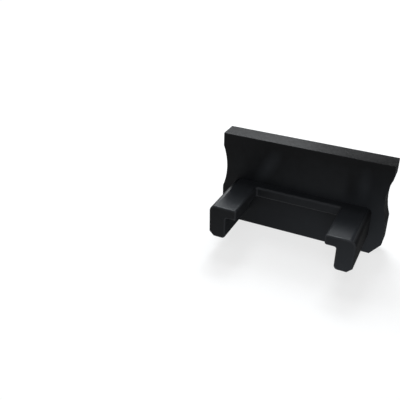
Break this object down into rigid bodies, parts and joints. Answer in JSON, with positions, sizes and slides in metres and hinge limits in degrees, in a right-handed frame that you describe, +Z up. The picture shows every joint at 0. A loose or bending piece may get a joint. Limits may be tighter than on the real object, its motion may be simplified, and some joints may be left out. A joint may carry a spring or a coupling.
{
  "type": "profile end cap",
  "caption": "Moulded end cap with a waisted faceplate; hooked prongs behind it push into the open end of a channel profile.",
  "frame": {"origin": "middle of the lower edge of the faceplate's back face, which seats on the cut end of the profile", "axes": "+X across the faceplate, +Y square to its back face and towards the prong tips (the way the cap is pushed in), +Z up the faceplate"},
  "size_m": [0.016, 0.0081, 0.0093],
  "materials": {
    "black_plastic": "semi-gloss black moulded plastic, smooth, with soft reflections"
  },
  "bodies": {
    "root": {"end_cap": "black_plastic"}
  },
  "joints": []
}
